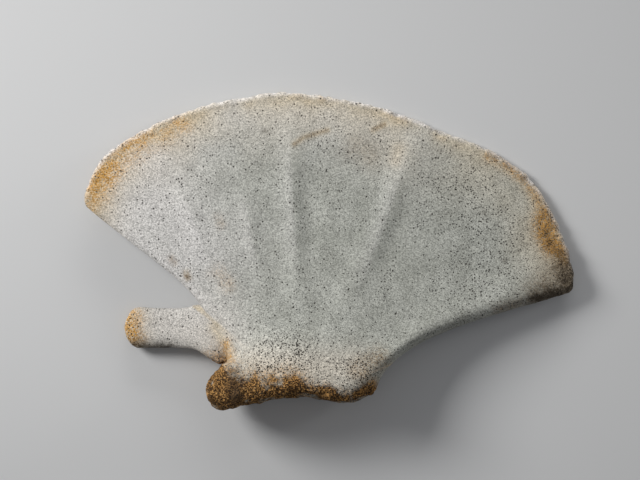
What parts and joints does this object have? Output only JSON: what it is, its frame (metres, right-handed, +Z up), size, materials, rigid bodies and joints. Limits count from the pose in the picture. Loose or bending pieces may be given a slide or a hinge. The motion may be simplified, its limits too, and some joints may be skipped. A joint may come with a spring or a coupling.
{
  "type": "whale scapula",
  "caption": "Right shoulder blade of a rorqual whale: wide fan-shaped plate with low ridges, a flat acromion bar, a blunt coracoid knob and an oval shoulder socket.",
  "frame": {"origin": "on the floor, under the middle of the outline of the bone as it lies", "axes": "+X from the front edge of the fan to its rear edge, +Y from the shoulder socket towards the fan's border, +Z up from the outer face to the rib-side face"},
  "size_m": [0.9114, 0.5924, 0.1451],
  "materials": {
    "bone": "matte"
  },
  "bodies": {
    "root": {"scapula": "bone"}
  },
  "joints": []
}
